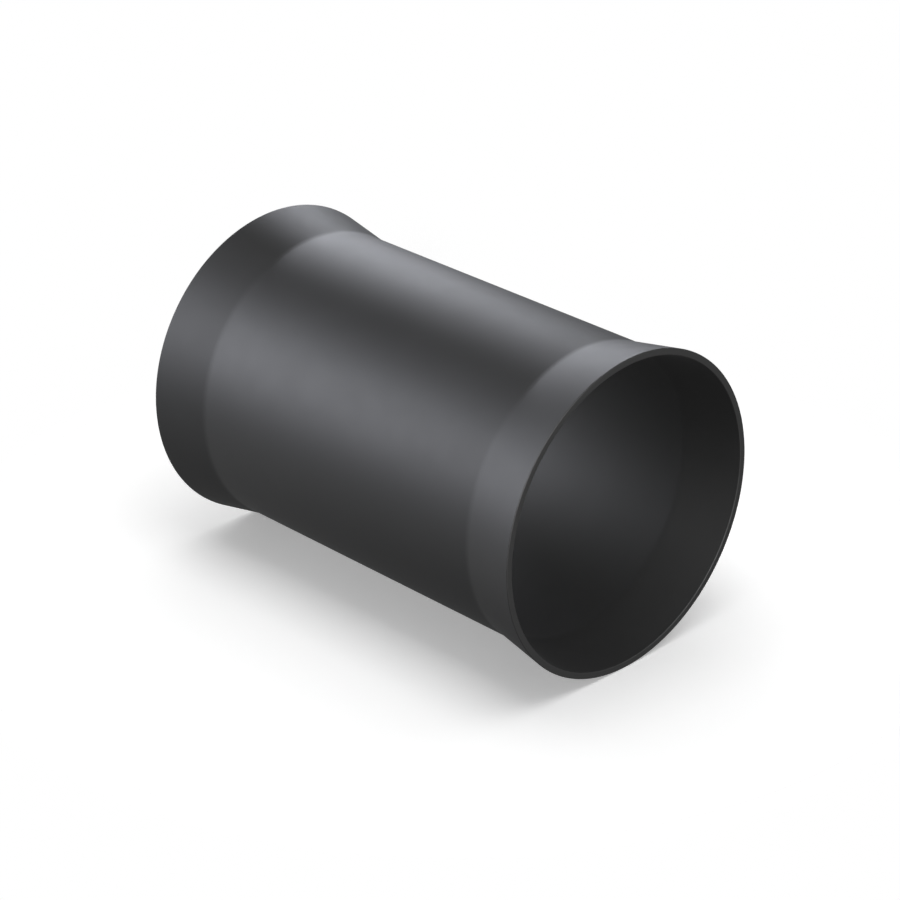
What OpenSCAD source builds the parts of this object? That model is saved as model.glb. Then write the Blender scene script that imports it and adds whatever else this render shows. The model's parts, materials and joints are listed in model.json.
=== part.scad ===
// Duct coupling: a plain round tube with a conical flare at each end, made in one piece.
// A round duct is pushed in through each flare, and the two meet end to end in the tube.
// The tube's axis is Z. The part stands on its lower rim, in the plane Z = 0.

/* [Tube] */
// Inside diameter of the straight tube, which takes the ducts' ends
bore_d = 150; // [80:1:315]
// Thickness of the wall, which is the same in the tube, the bends and the flares
wall = 3.5; // [2:0.1:6]
// Length over all, from rim to rim
length = 254; // [180:1:400]

/* [Flares] */
// Length of each flare along the axis, from the corner that its bend rounds off to the rim
flare_len = 32; // [20:1:60]
// How far each flare spreads outwards from the straight tube, up to the rim
flare_rise = 5.8; // [3:0.1:12]
// Radius of the bend between tube and flare, on the outside of the wall
bend_r = 22; // [10:1:40]

/* [Rims] */
// Rounding of the inner and the outer edge of each rim
edge_r = 0.4; // [0.2:0.05:0.8]

/* [Hidden] */

// Steps of a full turn round the axis, of a bend and of a rim's edge
turn_fn = 180;
bend_steps = 6;
edge_steps = 3;

// The wall's section is drawn as [distance from the axis, height] on one side of the axis.
// Distance of the straight tube's outer face, and of the sharp corner at the rim
tube_r = bore_d / 2 + wall;
rim_r = tube_r + flare_rise;

// Slope of the flare, measured from the axis
slope = atan(flare_rise / flare_len);

// The bend turns about a point outside the tube, at the height where the straight wall ends
bend_centre = [tube_r + bend_r, length - flare_len - bend_r * tan(slope / 2)];

// Distance of the sharp corner where the flare's inner face would meet the rim's plane
mouth_r = rim_r - wall / cos(slope);

// Centres of the rim's rounded edges, each edge touching the rim's plane and one face of the flare
outer_edge = [rim_r - edge_r / tan((90 - slope) / 2), length - edge_r];
inner_edge = [mouth_r + edge_r / tan((90 + slope) / 2), length - edge_r];

// Points along an arc, from one angle to another
function arc(centre, r, from, to, steps) =
    [for (i = [0:steps]) let (a = from + (to - from) * i / steps) centre + r * [cos(a), sin(a)]];

// Outline of the upper end: up the outside of bend and flare, over the rim and down the inside
upper_end = concat(
    arc(bend_centre, bend_r, 180, 180 - slope, bend_steps),
    arc(outer_edge, edge_r, -slope, 90, edge_steps),
    arc(inner_edge, edge_r, 90, 180 - slope, edge_steps),
    arc(bend_centre, bend_r + wall, 180 - slope, 180, bend_steps)
);

// The lower end is the upper one mirrored, so its points run the other way round
lower_end = [for (i = [len(upper_end) - 1:-1:0]) [upper_end[i].x, length - upper_end[i].y]];

// The wall, cut through on one side of the axis. Its straight tube joins the two ends.
module wall_section() {
    polygon(concat(upper_end, lower_end));
}

// The coupling: its wall's section turned once round the axis
module coupling() {
    color("#35363a") rotate_extrude($fn = turn_fn) wall_section();
}

coupling();
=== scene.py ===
import json
import math

import bpy
from mathutils import Matrix, Vector


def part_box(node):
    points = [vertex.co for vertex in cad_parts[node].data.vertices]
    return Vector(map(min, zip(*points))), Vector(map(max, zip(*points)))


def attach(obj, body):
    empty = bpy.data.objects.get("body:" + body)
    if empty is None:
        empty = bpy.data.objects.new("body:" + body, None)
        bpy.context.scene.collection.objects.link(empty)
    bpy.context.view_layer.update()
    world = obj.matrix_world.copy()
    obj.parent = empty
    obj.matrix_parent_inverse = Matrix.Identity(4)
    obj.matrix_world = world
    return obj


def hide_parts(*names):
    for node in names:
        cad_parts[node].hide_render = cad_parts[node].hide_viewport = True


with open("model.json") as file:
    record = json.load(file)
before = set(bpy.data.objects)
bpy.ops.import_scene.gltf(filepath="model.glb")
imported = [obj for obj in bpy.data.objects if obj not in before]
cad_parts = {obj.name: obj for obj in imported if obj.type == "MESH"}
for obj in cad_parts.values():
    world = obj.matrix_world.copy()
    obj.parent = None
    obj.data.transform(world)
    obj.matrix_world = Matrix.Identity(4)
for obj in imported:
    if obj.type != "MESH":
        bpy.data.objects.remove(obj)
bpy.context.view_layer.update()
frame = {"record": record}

# Duct coupling: its plastic wall, the photograph's camera, and the white studio round it.
# Sizes are in metres, in the part's own frame: Z is the duct axis, and the part stands on z = 0.
NODE = "coupling"
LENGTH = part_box(NODE)[1].z
CENTRE = Vector((0, 0, LENGTH / 2))
MOUNTS = {mount["name"]: mount for mount in frame["record"]["mounts"]}
MM_PER_M = 1000
BORE_R = MOUNTS["upper_socket"]["dims"]["r_mm"] / MM_PER_M

# The wall, each flare's length and spread, the bend's outside radius and the rim edges' rounding
WALL = 0.0035
FLARE_LEN = 0.032
FLARE_RISE = 0.0058
BEND_R = 0.022
EDGE_R = 0.0004
RIM_R = BORE_R + WALL + FLARE_RISE

# Steps of the mesh round the axis, along a bend and round a rim's edge
TURN_STEPS = 288
BEND_STEPS = 16
EDGE_STEPS = 6

# The photograph shows the part lying down. Its up and the tube's two other directions are these.
PHOTO_UP = Vector((0, -1, 0))
TUBE_AXIS = Vector((0, 0, 1))
TUBE_SIDE = Vector((1, 0, 0))

# The photograph's camera: lens and distance, height over the photograph's ground, the turn of
# the tube's axis from the picture's right, and how far the part's centre lies from the middle
LENS_MM = 123.6
SENSOR_MM = 36
CAMERA_DISTANCE = 1.564
CAMERA_ELEVATION = math.radians(26.48)
AXIS_TURN = math.radians(45.51)
CENTRE_LEFT = 0.0026
CENTRE_ABOVE = 0.0089

# At 4 W a square metre an area lamp has a radiance of 1, as a white world of strength 1 has
LAMP_WATTS = 4.0
# Radiance of the room round the studio: as a light, as the gloss shows it, and as the camera
# sees it, which is plain white
ROOM_LIGHT = 0.27
ROOM_IN_GLOSS = 0.162
ROOM_SEEN = 1
WHITE = (1, 1, 1)
COOL_WHITE = (0.90, 0.92, 1.0)

# Soft boxes that show only in the plastic's gloss. Each has its name and colour, the direction it
# stands in as shares of the tube's side, the photograph's up and the tube's axis, its distance,
# width, height, turn in degrees and radiance.
GLOSS_BOXES = (
    ("side_band", COOL_WHITE, (0.626, 0.342, -0.701), 1.1, 0.61, 0.88, -51, 7.15),
    ("top_band", COOL_WHITE, (-0.539, 0.333, -0.774), 1.1, 0.63, 0.155, -15, 20.2),
    ("near_mouth", WHITE, (0.33, 0.26, 0.91), 1.4, 2.0, 0.15, -5, 42.9),
    ("low_fill", WHITE, (0.246, -0.433, -0.867), 1.1, 1.6, 0.58, 8, 0.51),
    ("hidden_side", WHITE, (-0.52, -0.37, -0.77), 1.1, 0.09, 0.8, -61, 42.0),
)
# Soft boxes over the photographed part, which light its colour and throw the photograph's shadow
OVERHEAD_BOXES = (
    ("overhead_core", WHITE, (0.15, 1, 0.172), 1.2, 0.67, 0.94, 0, 2.0),
    ("overhead_wide", WHITE, (-0.164, 1, -0.176), 1.3, 2.0, 2.2, 0, 0.58),
)
# A box hangs overhead where its direction's angle to the photograph's up has a sine below this
OVERHEAD_SINE = 0.5
# The white that shows through the mouth that the part stands on
FAR_MOUTH_RADIANCE = 1.02

# The photograph's ground, which lies against both rims: its middle along the tube's side and axis,
# how far it reaches, where it starts to fade into the white around it, its colour and own light
GROUND_ASIDE = -0.02
GROUND_ALONG = -0.01
GROUND_HALF = 0.28
GROUND_FADE = 0.23
GROUND_COLOUR = (0.95, 0.95, 0.95, 1)
GROUND_GLOW = 0.325
# The floor that the part stands on shows only a painted soft shadow on the white, on the side
# away from the photograph's camera: black mixed in where the part closes off more sky towards
# the camera than away from it. Its size, the painted shadow's strength and reach, and how much
# less light comes from the camera's side than from the other where the painted shadow starts
# and where it is full.
FLOOR_HALF = 0.5
FLOOR_SHADOW = 0.5
FLOOR_REACH = 0.15
SHADOW_START = 0.31
SHADOW_FULL = 0.65

# The plastic's two close shades, its range of roughness, and the part of a noise that is stretched
PLASTIC_DARK = (0.0178, 0.0179, 0.0180, 1)
PLASTIC_LIGHT = (0.0206, 0.0207, 0.0209, 1)
GLOSS_SHINY = 0.557
GLOSS_DULL = 0.577
NOISE_LOW = 0.3
NOISE_HIGH = 0.7
# Sizes of the surface's detail in metres, the finer layers of noise in each, and how strong and
# deep the bumps are
CLOUD_SIZE = 0.035
CLOUD_LAYERS = 3
HANDLING_SIZE = 0.012
HANDLING_LAYERS = 4
GRAIN_SIZE = 0.0004
GRAIN_LAYERS = 2
GRAIN_STRENGTH = 0.12
GRAIN_DEPTH = 0.00003
WAVE_SIZE = 0.02
WAVE_LAYERS = 1
WAVE_STRENGTH = 0.1
WAVE_DEPTH = 0.00003


def photo_direction(side, up, along):
    """A direction from its shares of the tube's side, the photograph's up and the tube's axis."""
    return (TUBE_SIDE * side + PHOTO_UP * up + TUBE_AXIS * along).normalized()


def camera_axes():
    """The photograph's right, up and back directions, back pointing from the part to the camera."""
    right = TUBE_AXIS * math.cos(AXIS_TURN) - TUBE_SIDE * math.sin(AXIS_TURN)
    near = TUBE_AXIS * math.sin(AXIS_TURN) + TUBE_SIDE * math.cos(AXIS_TURN)
    back = near * math.cos(CAMERA_ELEVATION) + PHOTO_UP * math.sin(CAMERA_ELEVATION)
    up = PHOTO_UP * math.cos(CAMERA_ELEVATION) - near * math.sin(CAMERA_ELEVATION)
    return right, up, back


def make_camera():
    """The camera that sees the part as the photograph does."""
    right, up, back = camera_axes()
    data = bpy.data.cameras.new("camera")
    data.lens = LENS_MM
    data.sensor_width = SENSOR_MM
    camera = bpy.data.objects.new("camera", data)
    place = CENTRE + right * CENTRE_LEFT - up * CENTRE_ABOVE + back * CAMERA_DISTANCE
    axes = Matrix((right, up, back)).transposed().to_4x4()
    camera.matrix_world = Matrix.Translation(place) @ axes
    bpy.context.scene.collection.objects.link(camera)
    bpy.context.scene.camera = camera


def arc(centre, radius, start, end, steps, sign):
    """Points and outward normals along an arc. Sign is -1 where the wall is outside the arc."""
    points = []
    for i in range(steps + 1):
        angle = start + (end - start) * i / steps
        ray = Vector((math.cos(angle), math.sin(angle)))
        points.append((centre + ray * radius, ray * sign))
    return points


def wall_section():
    """The wall's outline as (distance from the axis, height) with normals, anticlockwise."""
    slope = math.atan(FLARE_RISE / FLARE_LEN)
    tube_r = BORE_R + WALL
    mouth_r = RIM_R - WALL / math.cos(slope)
    bend_height = LENGTH - FLARE_LEN - BEND_R * math.tan(slope / 2)
    bend = Vector((tube_r + BEND_R, bend_height))
    quarter, half = math.pi / 2, math.pi
    outer = Vector((RIM_R - EDGE_R / math.tan((quarter - slope) / 2), LENGTH - EDGE_R))
    inner = Vector((mouth_r + EDGE_R / math.tan((quarter + slope) / 2), LENGTH - EDGE_R))
    upper = (
        arc(bend, BEND_R, half, half - slope, BEND_STEPS, -1)
        + arc(outer, EDGE_R, -slope, quarter, EDGE_STEPS, 1)
        + arc(inner, EDGE_R, quarter, half - slope, EDGE_STEPS, 1)
        + arc(bend, BEND_R + WALL, half - slope, half, BEND_STEPS, 1)
    )
    lower = [
        (Vector((point.x, LENGTH - point.y)), Vector((normal.x, -normal.y)))
        for point, normal in reversed(upper)
    ]
    return upper + lower


def make_wall():
    """The coupling's one wall: its section turned round the axis."""
    section = wall_section()
    count = len(section)
    places, normals, faces = [], [], []
    for turn in range(TURN_STEPS):
        angle = 2 * math.pi * turn / TURN_STEPS
        c, s = math.cos(angle), math.sin(angle)
        for point, normal in section:
            places.append((point.x * c, point.x * s, point.y))
            normals.append((normal.x * c, normal.x * s, normal.y))
        here = turn * count
        there = (turn + 1) % TURN_STEPS * count
        for i in range(count):
            j = (i + 1) % count
            faces.append((here + i, there + i, there + j, here + j))
    mesh = bpy.data.meshes.new("coupling_wall")
    mesh.from_pydata(places, [], faces)
    mesh.polygons.foreach_set("use_smooth", [True] * len(faces))
    mesh.normals_split_custom_set_from_vertices(normals)
    mesh.update()
    wall = bpy.data.objects.new("coupling_wall", mesh)
    bpy.context.scene.collection.objects.link(wall)
    return wall


def new_material(name):
    """An empty material with its output node, as (material, nodes, join, output)."""
    material = bpy.data.materials.new(name)
    material.use_nodes = True
    tree = material.node_tree
    tree.nodes.clear()
    output = tree.nodes.new("ShaderNodeOutputMaterial")
    return material, tree.nodes, tree.links.new, output


def noise(nodes, join, place, size, layers):
    """Noise in the part's own space, with lumps of about the given size in metres."""
    node = nodes.new("ShaderNodeTexNoise")
    node.inputs["Scale"].default_value = 1 / size
    node.inputs["Detail"].default_value = layers
    join(place, node.inputs["Vector"])
    return node.outputs["Fac"]


def ramp(nodes, join, value, low, high):
    """The value's middle range, stretched to run from low to high."""
    node = nodes.new("ShaderNodeMapRange")
    node.inputs["From Min"].default_value = NOISE_LOW
    node.inputs["From Max"].default_value = NOISE_HIGH
    node.inputs["To Min"].default_value = low
    node.inputs["To Max"].default_value = high
    join(value, node.inputs["Value"])
    return node.outputs["Result"]


def plastic():
    """Satin anthracite plastic, with the fine grain and faint clouds of a moulded tube."""
    material, nodes, join, output = new_material("anthracite_plastic")
    shader = nodes.new("ShaderNodeBsdfPrincipled")
    place = nodes.new("ShaderNodeTexCoord").outputs["Object"]

    # Pigment: two close shades of anthracite in soft clouds
    shade = nodes.new("ShaderNodeMix")
    shade.data_type = "RGBA"
    shade.inputs["A"].default_value = PLASTIC_DARK
    shade.inputs["B"].default_value = PLASTIC_LIGHT
    clouds = noise(nodes, join, place, CLOUD_SIZE, CLOUD_LAYERS)
    join(ramp(nodes, join, clouds, 0, 1), shade.inputs["Factor"])
    join(shade.outputs["Result"], shader.inputs["Base Color"])

    # Gloss: a little duller and shinier by turns
    handling = noise(nodes, join, place, HANDLING_SIZE, HANDLING_LAYERS)
    join(ramp(nodes, join, handling, GLOSS_SHINY, GLOSS_DULL), shader.inputs["Roughness"])

    # Surface: a fine grain over the very shallow waves of a moulded wall
    grain = nodes.new("ShaderNodeBump")
    grain.inputs["Strength"].default_value = GRAIN_STRENGTH
    grain.inputs["Distance"].default_value = GRAIN_DEPTH
    join(noise(nodes, join, place, GRAIN_SIZE, GRAIN_LAYERS), grain.inputs["Height"])
    waves = nodes.new("ShaderNodeBump")
    waves.inputs["Strength"].default_value = WAVE_STRENGTH
    waves.inputs["Distance"].default_value = WAVE_DEPTH
    join(noise(nodes, join, place, WAVE_SIZE, WAVE_LAYERS), waves.inputs["Height"])
    join(waves.outputs["Normal"], grain.inputs["Normal"])
    join(grain.outputs["Normal"], shader.inputs["Normal"])

    join(shader.outputs["BSDF"], output.inputs["Surface"])
    return material


def one_sided(nodes, join, front):
    """The front's shader on the front, and nothing to be seen from behind."""
    facing = nodes.new("ShaderNodeNewGeometry").outputs["Backfacing"]
    clear = nodes.new("ShaderNodeBsdfTransparent")
    mix = nodes.new("ShaderNodeMixShader")
    join(facing, mix.inputs["Fac"])
    join(front, mix.inputs[1])
    join(clear.outputs["BSDF"], mix.inputs[2])
    return mix.outputs["Shader"]


def ground_material():
    """White ground that keeps the part's shadow, and lights up to plain white away from it."""
    material, nodes, join, output = new_material("white_ground")
    paper = nodes.new("ShaderNodeBsdfDiffuse")
    paper.inputs["Color"].default_value = GROUND_COLOUR
    glow = nodes.new("ShaderNodeEmission")
    glow.inputs["Strength"].default_value = GROUND_GLOW
    both = nodes.new("ShaderNodeAddShader")
    join(paper.outputs["BSDF"], both.inputs[0])
    join(glow.outputs["Emission"], both.inputs[1])
    away = nodes.new("ShaderNodeVectorMath")
    away.operation = "LENGTH"
    join(nodes.new("ShaderNodeTexCoord").outputs["Object"], away.inputs[0])
    fade = nodes.new("ShaderNodeMapRange")
    fade.inputs["From Min"].default_value = GROUND_FADE
    fade.inputs["From Max"].default_value = GROUND_HALF
    join(away.outputs["Value"], fade.inputs["Value"])
    edge = nodes.new("ShaderNodeMixShader")
    join(fade.outputs["Result"], edge.inputs["Fac"])
    join(both.outputs["Shader"], edge.inputs[1])
    join(nodes.new("ShaderNodeBsdfTransparent").outputs["BSDF"], edge.inputs[2])
    join(one_sided(nodes, join, edge.outputs["Shader"]), output.inputs["Surface"])
    return material


def light_from(nodes, join, side):
    """The share of the sky on one side of a point of the floor that the part leaves open."""
    halfway_up = Vector((side.x, side.y, 1)).normalized()
    towards = nodes.new("ShaderNodeCombineXYZ")
    for axis, value in zip("XYZ", halfway_up):
        towards.inputs[axis].default_value = value
    sky = nodes.new("ShaderNodeAmbientOcclusion")
    sky.inputs["Distance"].default_value = FLOOR_REACH
    join(towards.outputs["Vector"], sky.inputs["Normal"])
    return sky.outputs["AO"]


def floor_material():
    """White floor of which only a painted soft shadow of the part shows."""
    material, nodes, join, output = new_material("white_floor")
    level = camera_axes()[2].to_2d().normalized()
    lack = nodes.new("ShaderNodeMath")
    lack.operation = "SUBTRACT"
    join(light_from(nodes, join, -level), lack.inputs[0])
    join(light_from(nodes, join, level), lack.inputs[1])
    # Painted shadow: the lack of light on the camera's side becomes a share of black shown in place
    # of the clear floor
    shadow = nodes.new("ShaderNodeMapRange")
    shadow.inputs["From Min"].default_value = SHADOW_START
    shadow.inputs["From Max"].default_value = SHADOW_FULL
    shadow.inputs["To Max"].default_value = FLOOR_SHADOW
    join(lack.outputs["Value"], shadow.inputs["Value"])
    clear = nodes.new("ShaderNodeBsdfTransparent")
    painted_shade = nodes.new("ShaderNodeEmission")
    painted_shade.inputs["Strength"].default_value = 0
    mix = nodes.new("ShaderNodeMixShader")
    join(shadow.outputs["Result"], mix.inputs["Fac"])
    join(clear.outputs["BSDF"], mix.inputs[1])
    join(painted_shade.outputs["Emission"], mix.inputs[2])
    join(one_sided(nodes, join, mix.outputs["Shader"]), output.inputs["Surface"])
    return material


def make_sheet(name, centre, across, along, half, material):
    """A square sheet that only the camera sees. Its front faces the way across x along points."""
    corners = [(across * i + along * j) * half for i, j in ((-1, -1), (1, -1), (1, 1), (-1, 1))]
    mesh = bpy.data.meshes.new(name)
    mesh.from_pydata(corners, [], [(0, 1, 2, 3)])
    mesh.materials.append(material)
    sheet = bpy.data.objects.new(name, mesh)
    sheet.location = centre
    bpy.context.scene.collection.objects.link(sheet)
    sheet.visible_diffuse = False
    sheet.visible_glossy = False
    sheet.visible_transmission = False
    sheet.visible_shadow = False


def soft_box(name, colour, towards, distance, width, height, turn, radiance):
    """A rectangular lamp that faces the part's centre and isn't seen itself."""
    data = bpy.data.lights.new(name, "AREA")
    data.shape = "RECTANGLE"
    data.size = width
    data.size_y = height
    data.color = colour
    data.energy = radiance * width * height * LAMP_WATTS
    lamp = bpy.data.objects.new(name, data)
    back = photo_direction(*towards)
    # A box that hangs overhead is levelled by the tube's axis instead of the photograph's up
    level = PHOTO_UP.cross(back)
    if level.length < OVERHEAD_SINE:
        level = TUBE_AXIS.cross(back)
    level.normalize()
    upright = back.cross(level)
    c, s = math.cos(math.radians(turn)), math.sin(math.radians(turn))
    across = level * c + upright * s
    along = upright * c - level * s
    axes = Matrix((across, along, back)).transposed().to_4x4()
    lamp.matrix_world = Matrix.Translation(CENTRE + back * distance) @ axes
    lamp.visible_camera = False
    bpy.context.scene.collection.objects.link(lamp)
    return lamp


def far_mouth_lamp():
    """The white that the inside's gloss shows through the mouth that the part stands on."""
    data = bpy.data.lights.new("far_mouth", "AREA")
    data.shape = "DISK"
    data.size = 2 * BORE_R
    data.energy = FAR_MOUTH_RADIANCE * math.pi * BORE_R ** 2 * LAMP_WATTS
    lamp = bpy.data.objects.new("far_mouth", data)
    lamp.location = (0, 0, EDGE_R)
    lamp.rotation_euler = (math.pi, 0, 0)
    lamp.visible_camera = False
    lamp.visible_diffuse = False
    bpy.context.scene.collection.objects.link(lamp)


def make_lamps():
    """Overhead boxes that light colours and ground, and others that only the gloss shows."""
    for box in GLOSS_BOXES:
        soft_box(*box).visible_diffuse = False
    for box in OVERHEAD_BOXES:
        soft_box(*box).visible_glossy = False
    far_mouth_lamp()


def make_world():
    """A room that lights the part dimly, and that the camera sees as plain white.

    The gloss shows the dim room and not the white, as the gloss in the photograph does.
    """
    world = bpy.data.worlds.new("studio")
    bpy.context.scene.world = world
    world.use_nodes = True
    tree = world.node_tree
    rays = tree.nodes.new("ShaderNodeLightPath")
    seen = tree.nodes.new("ShaderNodeMath")
    seen.operation = "MAXIMUM"
    tree.links.new(rays.outputs["Is Camera Ray"], seen.inputs[0])
    tree.links.new(rays.outputs["Is Transmission Ray"], seen.inputs[1])
    room = tree.nodes.new("ShaderNodeMapRange")
    room.inputs["To Min"].default_value = ROOM_LIGHT
    room.inputs["To Max"].default_value = ROOM_IN_GLOSS
    tree.links.new(rays.outputs["Is Glossy Ray"], room.inputs["Value"])
    strength = tree.nodes.new("ShaderNodeMapRange")
    tree.links.new(room.outputs["Result"], strength.inputs["To Min"])
    strength.inputs["To Max"].default_value = ROOM_SEEN
    tree.links.new(seen.outputs["Value"], strength.inputs["Value"])
    background = tree.nodes["Background"]
    background.inputs["Color"].default_value = (*WHITE, 1)
    tree.links.new(strength.outputs["Result"], background.inputs["Strength"])


make_camera()

wall = make_wall()
wall.data.materials.append(plastic())
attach(wall, "root")
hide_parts(NODE)

ground_centre = CENTRE - PHOTO_UP * RIM_R + TUBE_SIDE * GROUND_ASIDE + TUBE_AXIS * GROUND_ALONG
make_sheet("ground", ground_centre, TUBE_SIDE, TUBE_AXIS, GROUND_HALF, ground_material())
make_sheet("floor", Vector((0, 0, 0)), TUBE_SIDE, -PHOTO_UP, FLOOR_HALF, floor_material())
make_lamps()
make_world()
bpy.context.scene.view_settings.view_transform = "Standard"
